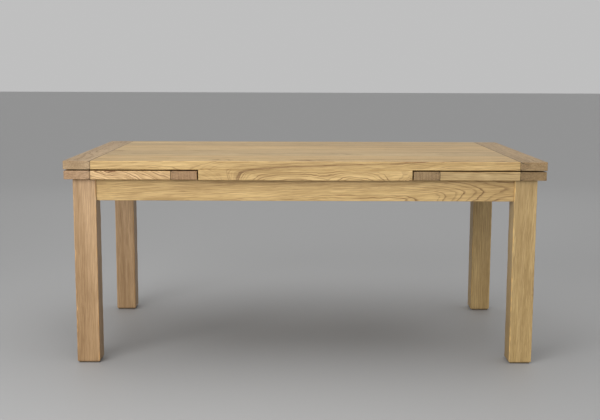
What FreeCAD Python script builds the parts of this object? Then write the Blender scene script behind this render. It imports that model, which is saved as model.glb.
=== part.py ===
"""Draw-leaf dining table in oak, closed, in millimetres.

The floor is at Z 0 and the origin is under the middle of the table. +X runs along the table,
-Y is its front. A loose main top lies on a fixed centre board. Two leaves are stowed under it,
one at each end, and each slides out on two bearers. Turning one end half round the Z axis gives
the other end, so both leaves are the same part.
"""
import FreeCAD, Part
import os
import re
import Sketcher
from FreeCAD import Placement, Rotation, Vector

# Every size that can be set by itself.
SIZES = {
    # main top
    "top_length": 1800,
    "top_depth": 1000,
    "table_height": 780,
    "top_thick": 32,
    "top_end_width": 100,
    "top_travel": 40,
    # tongue and groove between a panel's boards and its end boards
    "tongue_thick": 10,
    "tongue_deep": 15,
    "tongue_stop": 20,
    "tongue_gap": 0.5,
    # lips under the main top's long edges
    "lip_thick": 22,
    "lip_gap": 5,
    "lip_under": 1.5,
    "lip_behind": 3,
    # leaves
    "leaf_length": 495,
    "leaf_thick": 32,
    "leaf_inset": 2,
    "leaf_gap": 5,
    "leaf_under": 3,
    "leaf_end_width": 97,
    "leaf_travel": 500,
    "closing_gap": 1,
    # bearers, and the blocks that stop them
    "bearer_width": 30,
    "bearer_tall": 40,
    "bearer_inset": 12,
    "bearer_gap": 1,
    "bearer_play": 0.75,
    "bearer_far": 235,
    "bearer_near": 195,
    "stop_length": 38,
    "stop_width": 20,
    "stop_gap": 0.5,
    # legs and foot pads
    "leg_size": 86,
    "leg_inset_x": 29,
    "leg_inset_y": 27,
    "leg_round": 2.5,
    "leg_flat": 25,
    "leg_flat_tall": 90,
    "foot_chamfer": 5,
    "pad_thick": 3,
    "pad_inset": 6,
    # aprons and cross rails
    "apron_tall": 80,
    "apron_thick": 25,
    "apron_setback": 8.5,
    "rail_place": 350,
    "rail_thick": 24,
    "rail_tall": 72,
    "rail_housed": 8,
    # corner braces
    "brace_thick": 28,
    "brace_gap": 3,
    "brace_tall": 68,
    # hanger bolts, washers and nuts
    "bolt_radius": 4,
    "bolt_in_leg": 50,
    "bolt_beyond_nut": 4,
    "washer_radius": 9,
    "washer_thick": 1.6,
    "nut_across": 13,
    "nut_thick": 6.5,
    "fixing_spacing": 36,
    # dowels and screws
    "dowel_radius": 5,
    "dowel_length": 40,
    "screw_radius": 2.2,
    "head_radius": 4.2,
    "head_thick": 2.5,
    "screw_bite": 17,
    "brace_screw_cover": 9,
    "bearer_screw_cover": 27,
    "board_screw_length": 58,
    "board_screw_place": 210,
    "hole_gap": 0.1,
    "sink_gap": 0.5,
    # guide pegs under the main top
    "peg_radius": 12,
    "peg_seat": 15,
    "peg_play": 1,
    "peg_slot_play": 6,
    "peg_screw_length": 28,
    "keeper_radius": 22,
    "keeper_thick": 3,
    "felt_radius": 11,
    "felt_thick": 3,
    "felt_inset": 60,
}

# Each panel is glued up from this many boards of one width.
BOARDS = 8
# The board from each long edge that a guide peg is set in, counted from 1.
PEG_BOARD = 2
HALF_TURN = 180
HALF_CORNER = 45
FULL_TURN = 360
NUT_SIDES = 6
SKETCH_ORIGIN = -1

# Levels, from the floor.
TOP_UNDER = "(table_height - top_thick)"
LEAF_HIGH = f"({TOP_UNDER} - leaf_gap)"
LEAF_LOW = f"({LEAF_HIGH} - leaf_thick)"
FRAME_TOP = f"({LEAF_LOW} - leaf_under)"
BEARER_HIGH = f"({FRAME_TOP} - bearer_gap)"
BEARER_LOW = f"({BEARER_HIGH} - bearer_tall)"
KEEPER_TOP = f"({FRAME_TOP} - top_travel - stop_gap)"
FIXING_MIDDLE = f"({FRAME_TOP} - apron_tall / 2)"

# Places along the table, on its right half.
TOP_FIELD = "(top_length / 2 - top_end_width)"
LEAF_OUT = "(top_length / 2 - leaf_inset)"
LEAF_IN = f"({LEAF_OUT} - leaf_length)"
CENTRE_END = f"({LEAF_IN} - closing_gap)"
LIP_END = f"({LEAF_IN} - lip_gap)"
LEG_X = "(top_length / 2 - leg_inset_x)"
APRON_X = f"({LEG_X} - apron_setback)"
RAIL_IN = "(rail_place - rail_thick / 2)"
RAIL_OUT = "(rail_place + rail_thick / 2)"
BEARER_OUT = f"({LEAF_OUT} - bearer_inset)"
BEARER_IN = f"({RAIL_IN} - stop_gap - stop_length - leaf_travel)"

# Places across the table.
EDGE_Y = "(top_depth / 2)"
LEG_Y = "(top_depth / 2 - leg_inset_y)"
APRON_Y = f"({LEG_Y} - apron_setback)"
PEG_Y = f"(top_depth / 2 - top_depth / {BOARDS} * ({PEG_BOARD} - 0.5))"
BEARER_ROWS = {"a": "bearer_far", "b": "-bearer_near"}

# Inside a corner, from the leg's outer corner: along each side, and along the diagonal.
APRON_FACE = "(apron_setback + apron_thick)"
APRON_MIDDLE = "(apron_setback + apron_thick / 2)"
FLAT_AT = "(sqrt(2) * leg_size - leg_flat / sqrt(2))"
BRACE_AT = "(sqrt(2) * leg_size + brace_gap)"
WASHER_AT = f"({BRACE_AT} + brace_thick)"
NUT_AT = f"({WASHER_AT} + washer_thick)"
BOLT_END = f"({NUT_AT} + nut_thick + bolt_beyond_nut)"

# Each corner of the frame: its side along X, its side along Y, and its turn about Z.
CORNERS = {
    "front_left": (-1, -1, 0),
    "front_right": (1, -1, 90),
    "back_right": (1, 1, 180),
    "back_left": (-1, 1, 270),
}

document = FreeCAD.newDocument("DrawLeafTable")
sheet = document.addObject("Spreadsheet::Sheet", "Sizes")
parts = []


def fill_sheet():
    """Write each size and its name into a row of the sheet."""
    for row, (name, size) in enumerate(SIZES.items(), start=1):
        sheet.set(f"A{row}", name)
        sheet.set(f"B{row}", str(size))
        sheet.setAlias(f"B{row}", name)
    document.recompute()


def bound(formula):
    """Write the sheet's name before each size in a formula."""
    def cell(found):
        name = found.group()
        return f"{sheet.Name}.{name}" if name in SIZES else name
    return re.sub(r"[a-z_]+", cell, str(formula))


def value(formula):
    """Work out a formula from the sheet, in millimetres."""
    return float(sheet.evalExpression(bound(formula)))


def turned(angle):
    """A placement turned about the Z axis."""
    return Placement(Vector(), Rotation(Vector(0, 0, 1), angle))


def keep(item, label):
    """Name a finished sub-part and put it on the list to export."""
    item.Label = label
    parts.append(item)
    return item


def new_body(label, placement=None):
    """Start a body for one piece."""
    body = document.addObject("PartDesign::Body", label)
    body.Placement = placement or Placement()
    return body


def box(body, kind, x, y, z):
    """Add or take away a box that runs between two formulas along each axis."""
    feature = body.newObject(f"PartDesign::{kind}Box", "block")
    sides = zip("xyz", ("Length", "Width", "Height"), (x, y, z))
    for axis, side, (low, high) in sides:
        feature.setExpression(f"Placement.Base.{axis}", bound(low))
        feature.setExpression(side, bound(f"({high}) - ({low})"))
    return feature


def both(formula):
    """A range that runs as far to each side of the middle."""
    return f"-({formula})", formula


def about(middle, half):
    """A range about a middle."""
    return f"({middle}) - ({half})", f"({middle}) + ({half})"


def outline(body, plane, corners):
    """Draw a closed outline on an origin plane, each corner held from the origin by two formulas."""
    sketch = body.newObject("Sketcher::SketchObject", "outline")
    support = next(item for item in body.Origin.OriginFeatures if item.Role == plane)
    sketch.AttachmentSupport = [(support, "")]
    sketch.MapMode = "FlatFace"
    points = [Vector(value(across), value(up), 0) for across, up in corners]
    for number, point in enumerate(points):
        sketch.addGeometry(Part.LineSegment(points[number - 1], point))
    for number in range(len(points)):
        follows = (number + 1) % len(points)
        sketch.addConstraint(Sketcher.Constraint("Coincident", number, 2, follows, 1))
    for number, formulas in enumerate(corners):
        for kind, formula in zip(("DistanceX", "DistanceY"), formulas):
            held = Sketcher.Constraint(kind, SKETCH_ORIGIN, 1, number, 2, value(formula))
            index = sketch.addConstraint(held)
            sketch.setExpression(f"Constraints[{index}]", bound(formula))
    return sketch


def pad(body, sketch, length):
    """Make an outline solid, along its plane's normal."""
    feature = body.newObject("PartDesign::Pad", "pad")
    feature.Profile = sketch
    feature.setExpression("Length", bound(length))
    sketch.Visibility = False
    return feature


def edges_where(shape, test):
    """Names of the edges whose box passes a test."""
    return [f"Edge{n}" for n, edge in enumerate(shape.Edges, start=1) if test(edge.BoundBox)]


def dress(body, kind, base, size_property, size, test):
    """Round or chamfer the edges of a feature that pass a test."""
    document.recompute()
    feature = body.newObject(f"PartDesign::{kind}", kind.lower())
    feature.Base = (base, edges_where(base.Shape, test))
    feature.setExpression(size_property, bound(size))
    return feature


def drilled(body, holes, label):
    """Cut the fastenings' holes out of a piece."""
    cut = document.addObject("Part::Cut", label)
    cut.Base = body
    cut.Tool = holes
    return keep(cut, label)


def group(label, shapes, placement=None):
    """Solids that share a node or a tool: fixed spots in the sheet's sizes, one shape each."""
    item = document.addObject("Part::Feature", label)
    item.Shape = Part.makeCompound(shapes)
    item.Placement = placement or Placement()
    return item


def rod(start, along, radius, length):
    """A round rod from a point."""
    return Part.makeCylinder(radius, length, start, along)


def screw(seat, along, length):
    """A screw whose head rests at its seat and whose shank runs on along its axis."""
    head = value("head_thick")
    shank = rod(seat, along, value("screw_radius"), length)
    cap = rod(seat - along * head, along, value("head_radius"), head)
    return shank.fuse(cap)


def screw_hole(seat, along, length, sunk):
    """The hole that a screw fills, with the way in for its head as deep as it is sunk."""
    gap = value("hole_gap")
    shank = rod(seat, along, value("screw_radius") + gap, length + gap)
    way_in = rod(seat - along * sunk, along, value("head_radius") + value("sink_gap"), sunk)
    return [shank, way_in]


# --- frame -----------------------------------------------------------------------------------

def corner_placement(side_x, side_y, turn):
    """A corner of the frame, from the legs' outer corner inwards."""
    spot = Vector(side_x * value(LEG_X), side_y * value(LEG_Y), 0)
    return Placement(spot, Rotation(Vector(0, 0, 1), turn))


def corner_body(label, side_x, side_y, turn):
    """A body that stands in a corner of the frame and follows it."""
    body = new_body(label, turned(turn))
    body.setExpression("Placement.Base.x", bound(f"{side_x} * {LEG_X}"))
    body.setExpression("Placement.Base.y", bound(f"{side_y} * {LEG_Y}"))
    return body


def leg(name, corner, holes):
    """A square post with eased arrises, a chamfered foot and a flat for its hanger bolts."""
    body = corner_body(f"leg_{name}_blank", *corner)
    across = ("0", "leg_size")
    post = box(body, "Additive", across, across, ("pad_thick", FRAME_TOP))
    side = value("leg_size")
    footed = dress(body, "Chamfer", post, "Size", "foot_chamfer", lambda b: b.ZMax < side)
    dress(body, "Fillet", footed, "Radius", "leg_round", lambda b: b.ZLength > side)
    flat = box(body, "Subtractive", ("leg_size", "leg_size + leg_flat"),
               ("leg_size - leg_flat", "leg_size"), (f"{FRAME_TOP} - leg_flat_tall", FRAME_TOP))
    flat.Placement = turned(HALF_CORNER)
    flat.setExpression("Width", bound("leg_flat * sqrt(2)"))
    drilled(body, holes, f"leg_{name}")


def corner_brace(name, corner, holes):
    """A block across the corner, mitred to lie against both aprons."""
    body = corner_body(f"corner_brace_{name}_blank", *corner)
    near = f"(sqrt(2) * {BRACE_AT} - {APRON_FACE})"
    far = f"(sqrt(2) * {WASHER_AT} - {APRON_FACE})"
    sketch = outline(body, "XY_Plane", [(near, APRON_FACE), (far, APRON_FACE),
                                        (APRON_FACE, far), (APRON_FACE, near)])
    sketch.setExpression("AttachmentOffset.Base.z", bound(f"{FIXING_MIDDLE} - brace_tall / 2"))
    pad(body, sketch, "brace_tall")
    drilled(body, holes, f"corner_brace_{name}")


def long_apron(name, turn, holes):
    """A front or back apron, housed for the ends of the cross rails."""
    body = new_body(f"apron_{name}_blank", turned(turn))
    box(body, "Additive", both(f"({LEG_X} - leg_size)"), (f"-{APRON_Y}", f"apron_thick - {APRON_Y}"),
        (f"{FRAME_TOP} - apron_tall", FRAME_TOP))
    housing = (f"apron_thick - rail_housed - {APRON_Y}", f"apron_thick - {APRON_Y}")
    for middle in ("rail_place", "-rail_place"):
        box(body, "Subtractive", about(middle, "rail_thick / 2"), housing,
            (f"{FRAME_TOP} - rail_tall", FRAME_TOP))
    drilled(body, holes, f"apron_{name}")


def bearer_notches(body, x):
    """Open notches that a leaf's two bearers run through."""
    for row in BEARER_ROWS.values():
        box(body, "Subtractive", x, about(row, "bearer_width / 2 + bearer_play"),
            (f"{BEARER_LOW} - bearer_play", FRAME_TOP))


def end_apron(name, turn, holes):
    """An apron across one end, notched for the bearers."""
    body = new_body(f"apron_{name}_blank", turned(turn))
    x = (f"{APRON_X} - apron_thick", APRON_X)
    box(body, "Additive", x, both(f"({LEG_Y} - leg_size)"), (f"{FRAME_TOP} - apron_tall", FRAME_TOP))
    bearer_notches(body, x)
    drilled(body, holes, f"apron_{name}")


def cross_rail(name, turn, holes):
    """A rail from the front apron to the back one, notched for the bearers."""
    body = new_body(f"cross_rail_{name}_blank", turned(turn))
    x = (RAIL_IN, RAIL_OUT)
    box(body, "Additive", x, both(f"({APRON_Y} - apron_thick + rail_housed)"),
        (f"{FRAME_TOP} - rail_tall", FRAME_TOP))
    bearer_notches(body, x)
    drilled(body, holes, f"cross_rail_{name}")


def centre_board(holes):
    """The fixed board between the leaves, slotted for the guide pegs."""
    body = new_body("centre_board_blank")
    height = (FRAME_TOP, TOP_UNDER)
    box(body, "Additive", both(CENTRE_END), both(f"({EDGE_Y} - lip_thick - lip_behind)"), height)
    for side in (-1, 1):
        box(body, "Subtractive", both("(peg_radius + peg_slot_play)"),
            about(f"{side} * {PEG_Y}", "peg_radius + peg_play"), height)
    drilled(body, holes, "centre_board")


def fixing_levels():
    """The two levels of the bolts, screws and dowels in a corner."""
    middle = value(FIXING_MIDDLE)
    half = value("fixing_spacing") / 2
    return middle - half, middle + half


def on_diagonal(distance, level):
    """A point over a corner's diagonal."""
    return Vector(distance / 2 ** 0.5, distance / 2 ** 0.5, level)


def corner_fixings():
    """Fastenings of one corner, in the corner's own frame, by node, with their holes."""
    diagonal = Vector(1, 1, 0).normalize()
    gap = value("hole_gap")
    nodes = ("leg_bolts", "leg_washers", "leg_nuts", "brace_screws", "apron_dowels")
    fixings = {node: [] for node in nodes}
    holes = []
    tip, end = value(FLAT_AT) - value("bolt_in_leg"), value(BOLT_END)
    screw_at = value(f"(sqrt(2) * ({BRACE_AT} + brace_thick / 2) - {APRON_FACE})")
    screw_seat = value(f"{APRON_FACE} + brace_screw_cover")
    screw_length = value("brace_screw_cover + screw_bite")
    dowel_start = value("leg_size - dowel_length / 2")
    for level in fixing_levels():
        start = on_diagonal(tip, level)
        fixings["leg_bolts"].append(rod(start, diagonal, value("bolt_radius"), end - tip))
        holes.append(rod(start - diagonal * gap, diagonal, value("bolt_radius") + gap, end - tip))
        fixings["leg_washers"].append(ring(on_diagonal(value(WASHER_AT), level), diagonal,
                                           value("washer_radius"), value("washer_thick")))
        fixings["leg_nuts"].append(nut(on_diagonal(value(NUT_AT), level), diagonal))
        sides = ((Vector(1, 0, 0), Vector(0, 1, 0)), (Vector(0, 1, 0), Vector(1, 0, 0)))
        for along, across in sides:
            up = Vector(0, 0, level)
            seat = along * screw_at + across * screw_seat + up
            fixings["brace_screws"].append(screw(seat, -across, screw_length))
            holes += screw_hole(seat, -across, screw_length, value("brace_thick"))
            dowel = along * dowel_start + across * value(APRON_MIDDLE) + up
            length = value("dowel_length")
            fixings["apron_dowels"].append(rod(dowel, along, value("dowel_radius"), length))
            holes.append(rod(dowel - along * gap, along, value("dowel_radius") + gap, length + 2 * gap))
    return fixings, holes


def ring(start, along, radius, thick):
    """A washer round a bolt, with a little room in its hole."""
    hole = value("bolt_radius") + 2 * value("hole_gap")
    return rod(start, along, radius, thick).cut(rod(start, along, hole, thick))


def nut(start, along):
    """A six-sided nut round a bolt."""
    spoke = Vector(value("nut_across / sqrt(3)"), 0, 0)
    turns = [Rotation(Vector(0, 0, 1), FULL_TURN / NUT_SIDES * side) for side in range(NUT_SIDES + 1)]
    corners = [turn.multVec(spoke) for turn in turns]
    blank = Part.Face(Part.makePolygon(corners)).extrude(Vector(0, 0, value("nut_thick")))
    hole = rod(Vector(), Vector(0, 0, 1), value("bolt_radius") + value("hole_gap"), value("nut_thick"))
    shape = blank.cut(hole)
    shape.Placement = Placement(start, Rotation(Vector(0, 0, 1), along))
    return shape


def in_each_corner(shapes):
    """Copies of a corner's shapes in all four corners."""
    copies = []
    for corner in CORNERS.values():
        for shape in shapes:
            copy = shape.copy()
            copy.Placement = corner_placement(*corner).multiply(copy.Placement)
            copies.append(copy)
    return copies


def board_screw_seats():
    """Where screws go down through the centre board, into the aprons and the cross rails."""
    level = value(TOP_UNDER) - value("sink_gap") - value("head_thick")
    apron = value(f"{APRON_Y} - apron_thick / 2")
    spots = [(value("board_screw_place"), apron), (value("rail_place"), value("bearer_near / 2"))]
    return [Vector(x * sx, y * sy, level) for x, y in spots for sx in (-1, 1) for sy in (-1, 1)]


def foot_pads():
    """A square pad under each leg."""
    side = value("leg_size - 2 * pad_inset")
    inset = value("pad_inset")
    pad_shape = Part.makeBox(side, side, value("pad_thick"), Vector(inset, inset, 0))
    return in_each_corner([pad_shape])


def build_frame():
    """Legs, aprons, braces, rails and centre board, with what fastens them."""
    fixings, corner_holes = corner_fixings()
    down = Vector(0, 0, -1)
    length = value("board_screw_length")
    seats = board_screw_seats()
    board_holes = []
    for seat in seats:
        board_holes += screw_hole(seat, down, length, value("head_thick + 2 * sink_gap"))
    holes = group("frame_holes", in_each_corner(corner_holes) + board_holes)
    for name, corner in CORNERS.items():
        leg(name, corner, holes)
        corner_brace(name, corner, holes)
    for name, turn in (("front", 0), ("back", HALF_TURN)):
        long_apron(name, turn, holes)
    for name, turn in (("right", 0), ("left", HALF_TURN)):
        end_apron(name, turn, holes)
        cross_rail(name, turn, holes)
    centre_board(holes)
    for label, shapes in fixings.items():
        keep(group(label, in_each_corner(shapes)), label)
    screws = [screw(seat, down, length) for seat in seats]
    keep(group("centre_board_screws", screws), "centre_board_screws")
    keep(group("foot_pads", foot_pads()), "foot_pads")


# --- panels ----------------------------------------------------------------------------------

def field_board(label, number, x, z, turn=0):
    """One board of a panel, with a tongue at each end that stops short of the panel's edges."""
    body = new_body(label, turned(turn))
    width = f"top_depth / {BOARDS}"
    low = f"({number} * {width} - {EDGE_Y})"
    high = f"({number + 1} * {width} - {EDGE_Y})"
    box(body, "Additive", x, (low, high), z)
    tongue_low = f"({low} + tongue_stop)" if number == 0 else low
    tongue_high = f"({high} - tongue_stop)" if number == BOARDS - 1 else high
    middle = f"({z[0]} + {z[1]}) / 2"
    box(body, "Additive", (f"{x[0]} - tongue_deep", f"{x[1]} + tongue_deep"),
        (tongue_low, tongue_high), about(middle, "tongue_thick / 2"))
    return body


def end_board(label, x, z, groove_side, turn=0):
    """A board across a panel's end, grooved for the tongues on one side."""
    body = new_body(label, turned(turn))
    box(body, "Additive", x, both(EDGE_Y), z)
    depth = "(tongue_deep + tongue_gap)"
    groove = (x[0], f"{x[0]} + {depth}") if groove_side < 0 else (f"{x[1]} - {depth}", x[1])
    middle = f"({z[0]} + {z[1]}) / 2"
    box(body, "Subtractive", groove, both(f"({EDGE_Y} - tongue_stop + tongue_gap)"),
        about(middle, "tongue_thick / 2 + hole_gap"))
    return body


# --- main top --------------------------------------------------------------------------------

def peg_spots(level):
    """The two guide pegs' places at one level."""
    return [Vector(0, side * value(PEG_Y), level) for side in (-1, 1)]


def build_top():
    """The loose top with its lips, guide pegs and felts."""
    height = (TOP_UNDER, "table_height")
    gap = value("hole_gap")
    up = Vector(0, 0, 1)
    peg_length = value(f"{TOP_UNDER} - {KEEPER_TOP} + peg_seat")
    radius, depth = value("peg_radius") + gap, value("peg_seat") + gap
    holes = group("peg_holes", [rod(spot, up, radius, depth) for spot in peg_spots(value(TOP_UNDER))])
    for number in range(BOARDS):
        label = f"top_board_{number + 1}"
        board = field_board(f"{label}_blank", number, both(TOP_FIELD), height)
        drilled(board, holes, label)
    keep(end_board("top_end_right", (TOP_FIELD, "top_length / 2"), height, -1), "top_end_right")
    keep(end_board("top_end_left", (TOP_FIELD, "top_length / 2"), height, -1, HALF_TURN), "top_end_left")
    for name, turn in (("front", 0), ("back", HALF_TURN)):
        lip = new_body(f"lip_{name}", turned(turn))
        box(lip, "Additive", both(LIP_END), (f"-{EDGE_Y}", f"lip_thick - {EDGE_Y}"),
            (f"{FRAME_TOP} + lip_under", TOP_UNDER))
        keep(lip, f"lip_{name}")
    build_pegs(peg_length)
    felt_x, felt_y = value(f"({TOP_FIELD} + top_length / 2) / 2"), value(f"{EDGE_Y} - felt_inset")
    felts = [rod(Vector(sx * felt_x, sy * felt_y, value(f"{TOP_UNDER} - felt_thick")), up,
                 value("felt_radius"), value("felt_thick")) for sx in (-1, 1) for sy in (-1, 1)]
    keep(group("top_felts", felts), "top_felts")


def build_pegs(length):
    """Guide pegs, the keepers that stop the top's lift, and their screws."""
    up = Vector(0, 0, 1)
    bite = value("peg_screw_length")
    under = value(f"{KEEPER_TOP} - keeper_thick")
    pegs, keepers, screws = [], [], []
    for top, low in zip(peg_spots(value(KEEPER_TOP)), peg_spots(under)):
        hole = rod(low, up, value("screw_radius") + value("hole_gap"), bite + value("hole_gap"))
        pegs.append(rod(top, up, value("peg_radius"), length).cut(hole))
        keepers.append(rod(low, up, value("keeper_radius"), value("keeper_thick")).cut(hole))
        screws.append(screw(low, up, bite))
    for label, shapes in (("guide_pegs", pegs), ("peg_keepers", keepers), ("peg_screws", screws)):
        keep(group(label, shapes), label)


# --- leaves ----------------------------------------------------------------------------------

def leaf_screw_seats():
    """Where a leaf's screws go up through its bearers, on the right-hand leaf."""
    level = value(f"{LEAF_LOW} - bearer_screw_cover")
    inner = value(f"{LEAF_IN} + leaf_end_width / 2")
    outer = value(f"{LEAF_OUT} - leaf_end_width / 2")
    spots = [inner + (outer - inner) * share for share in (0, 1 / 3, 2 / 3, 1)]
    return [Vector(x, value(row), level) for x in spots for row in BEARER_ROWS.values()]


def bearer(label, row, turn):
    """A bearer: a level bar that slides in the notches, with a raised seat under its leaf."""
    body = new_body(label, turned(turn))
    corners = [(BEARER_IN, BEARER_LOW), (BEARER_OUT, BEARER_LOW), (BEARER_OUT, LEAF_LOW),
               (LEAF_IN, LEAF_LOW), (LEAF_IN, BEARER_HIGH), (BEARER_IN, BEARER_HIGH)]
    sketch = outline(body, "XZ_Plane", corners)
    sketch.setExpression("AttachmentOffset.Base.z", bound(f"-({row}) - bearer_width / 2"))
    pad(body, sketch, "bearer_width")
    return body


def stop_blocks():
    """A block beside each bearer's inner end, which meets the cross rail, on the right-hand leaf."""
    sides = [value(size) for size in ("stop_length", "stop_width", "bearer_tall")]
    across = value("bearer_width / 2")
    return [Part.makeBox(*sides, Vector(value(BEARER_IN), value(row) + across, value(BEARER_LOW)))
            for row in BEARER_ROWS.values()]


def build_leaf(side, turn):
    """One leaf with its bearers, stop blocks and screws."""
    up = Vector(0, 0, 1)
    length = value("bearer_screw_cover + screw_bite")
    seats = leaf_screw_seats()
    sunk = value(f"{LEAF_LOW} - bearer_screw_cover - {BEARER_LOW}")
    hole_shapes = [shape for seat in seats for shape in screw_hole(seat, up, length, sunk)]
    holes = group(f"{side}_leaf_holes", hole_shapes, turned(turn))
    height = (LEAF_LOW, LEAF_HIGH)
    field = (f"({LEAF_IN} + leaf_end_width)", f"({LEAF_OUT} - leaf_end_width)")
    boards = [field_board(f"{side}_leaf_board_{number + 1}", number, field, height, turn)
              for number in range(BOARDS)]
    blanks = document.addObject("Part::Compound", f"{side}_leaf_boards_blank")
    blanks.Links = boards
    drilled(blanks, holes, f"{side}_leaf_boards")
    ends = {"inner": ((LEAF_IN, field[0]), 1), "outer": ((field[1], LEAF_OUT), -1)}
    for name, (x, groove_side) in ends.items():
        board = end_board(f"{side}_leaf_{name}_end_blank", x, height, groove_side, turn)
        drilled(board, holes, f"{side}_leaf_{name}_end")
    for name, row in BEARER_ROWS.items():
        drilled(bearer(f"{side}_bearer_{name}_blank", row, turn), holes, f"{side}_bearer_{name}")
    keep(group(f"{side}_stop_blocks", stop_blocks(), turned(turn)), f"{side}_stop_blocks")
    screws = [screw(seat, up, length) for seat in seats]
    keep(group(f"{side}_bearer_screws", screws, turned(turn)), f"{side}_bearer_screws")


# --- check and export ------------------------------------------------------------------------

def check():
    """Stop if any object failed or any sub-part has no sound solid."""
    document.recompute()
    failed = [item.Label for item in document.Objects if {"Invalid", "Error"} & set(item.State)]
    if failed:
        raise RuntimeError(f"failed objects: {failed}")
    for part in parts:
        shape = part.Shape
        if shape.isNull() or not shape.isValid() or not shape.Solids:
            raise RuntimeError(f"{part.Label} has no sound solid")


def export():
    """Write each sub-part to its own file."""
    os.makedirs("parts", exist_ok=True)
    for part in parts:
        part.Shape.exportStep(f"parts/{part.Label}.step")
        box_of = part.Shape.BoundBox
        print(f"{part.Label}: {len(part.Shape.Solids)} solids, {part.Shape.Volume / 1000:.1f} cm3, "
              f"Z {box_of.ZMin:.1f} to {box_of.ZMax:.1f}")
    print(len(parts), "sub-parts")


fill_sheet()
build_frame()
build_top()
build_leaf("right", 0)
build_leaf("left", HALF_TURN)
check()
export()
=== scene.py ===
# %% [markdown]
# # A draw-leaf dining table in oiled oak
# The table is already designed: every board, bolt and sliding bearer has its size and place in the frame
# that the next cell loads. What is left is how it looks. Each cell below makes one kind of piece or one
# finish, says what it is on the real table, and why it is made this way.

import bmesh
import bpy
import numpy as np
from mathutils import Matrix, Vector


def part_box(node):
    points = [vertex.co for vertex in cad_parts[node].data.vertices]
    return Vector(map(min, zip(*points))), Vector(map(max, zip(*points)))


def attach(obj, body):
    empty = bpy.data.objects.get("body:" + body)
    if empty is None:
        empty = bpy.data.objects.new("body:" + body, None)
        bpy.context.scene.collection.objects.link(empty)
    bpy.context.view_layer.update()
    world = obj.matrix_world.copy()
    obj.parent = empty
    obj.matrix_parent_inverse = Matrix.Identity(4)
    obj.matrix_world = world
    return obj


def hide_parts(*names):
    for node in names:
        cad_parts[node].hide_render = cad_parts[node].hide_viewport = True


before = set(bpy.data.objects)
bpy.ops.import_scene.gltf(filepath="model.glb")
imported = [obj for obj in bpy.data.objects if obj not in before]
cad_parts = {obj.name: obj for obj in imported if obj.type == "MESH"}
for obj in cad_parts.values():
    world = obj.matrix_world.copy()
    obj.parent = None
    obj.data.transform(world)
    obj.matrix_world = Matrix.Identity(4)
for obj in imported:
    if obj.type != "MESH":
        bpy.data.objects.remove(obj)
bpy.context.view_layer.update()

MM = 0.001

# %% [markdown]
# ## A plank
# Nearly every piece of this table is a plank: a straight length of oak with flat faces and eased
# arrises. A box with a Bevel modifier would do, but its edges would be perfectly even, and a
# hand-sanded arris never is. So a plank is a surface of two parameters: how far along the grain, and
# how far round the section. The section is a rounded rectangle, and the radius of each of its four
# arrises wanders a little on the way. The wander is a mean of a few sines with seeded phases, so each
# run gives the same.

# %% Wander, and places along a plank
SINES = 6
# the mean of several sines is smaller than one of them, so it is made larger again
WANDER_GAIN = 1.8


def wander(along, seed, wave):
    """Smooth values from about -1 to 1 at places along a length: the mean of a few sines whose
    wavelengths are from half to four times a typical wave, with seeded phases, times a gain."""
    seeded = np.random.default_rng(seed)
    lengths = wave * seeded.uniform(0.5, 4.0, SINES)
    phases = seeded.uniform(0, 2 * np.pi, SINES)
    return WANDER_GAIN * np.sin(2 * np.pi * along[:, None] / lengths + phases).mean(axis=1)


END_STEPS = 4
# where the station past a drawn-in end lies, against the size of that end
PAST_END = 1.3


def drawn_in(size, shape):
    """How a plank's end narrows: the distance in from the end, and how far the faces are drawn in
    there. A round end follows a quarter circle, and a chamfer a straight line. One more station a
    little further in keeps what is stored at the end from spreading along the plank."""
    share = np.linspace(0, 1, END_STEPS)
    quarter = share * np.pi / 2
    inward = share if shape == "chamfer" else 1 - np.cos(quarter)
    narrowing = 1 - share if shape == "chamfer" else 1 - np.sin(quarter)
    return size * np.append(inward, PAST_END), size * np.append(narrowing, 0)


def stations(length, ends, step):
    """Places along a plank from -length/2, close together at the two ends and a step apart between,
    and how far the section is drawn in at each."""
    near, near_in = drawn_in(*ends[0])
    far, far_in = drawn_in(*ends[1])
    middle = np.linspace(near[-1], length - far[-1], max(3, int(length / step)))[1:-1]
    along = np.concatenate([near, middle, (length - far)[::-1]]) - length / 2
    return along, np.concatenate([near_in, np.zeros(len(middle)), far_in[::-1]])


# %% A section with four arrises
ARC_STEPS = 4
SIDES = ((1, 1), (-1, 1), (-1, -1), (1, -1))


def section(half, drawn, radii, flat):
    """Rounded rectangles, one for each station: at each of the four corners a quarter circle of that
    corner's radius about a centre set in by it, or the straight chord between its two ends where the
    corner is cut flat. The corners follow each other anticlockwise, and the faces join them."""
    quarter = np.linspace(0, np.pi / 2, ARC_STEPS)
    corners = []
    for number, sides in enumerate(SIDES):
        radius = radii[number][:, None]
        turn = quarter + number * np.pi / 2
        arc = np.stack([radius * np.cos(turn), radius * np.sin(turn)], axis=2)
        if number == flat:
            share = np.linspace(0, 1, ARC_STEPS)[None, :, None]
            arc = arc[:, :1] * (1 - share) + arc[:, -1:] * share
        room = np.array(half)[None, None, :] - drawn[:, None, None] - radius[:, :, None]
        corners.append(np.array(sides) * room + arc)
    return np.concatenate(corners, axis=1)


def closed_faces(rows, around):
    """Faces of a tube of rows of points, closed at both ends by fans to one middle point each."""
    row, place = np.meshgrid(np.arange(rows - 1), np.arange(around), indexing="ij")
    after = (place + 1) % around
    walls = np.stack([row * around + place, row * around + after,
                      (row + 1) * around + after, (row + 1) * around + place], axis=2)
    turn = np.arange(around)
    following = (turn + 1) % around
    last = (rows - 1) * around
    near_cap = np.stack([np.full(around, rows * around), following, turn], axis=1)
    far_cap = np.stack([np.full(around, rows * around + 1), last + turn, last + following], axis=1)
    return walls.reshape(-1, 4).tolist() + near_cap.tolist() + far_cap.tolist()


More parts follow.
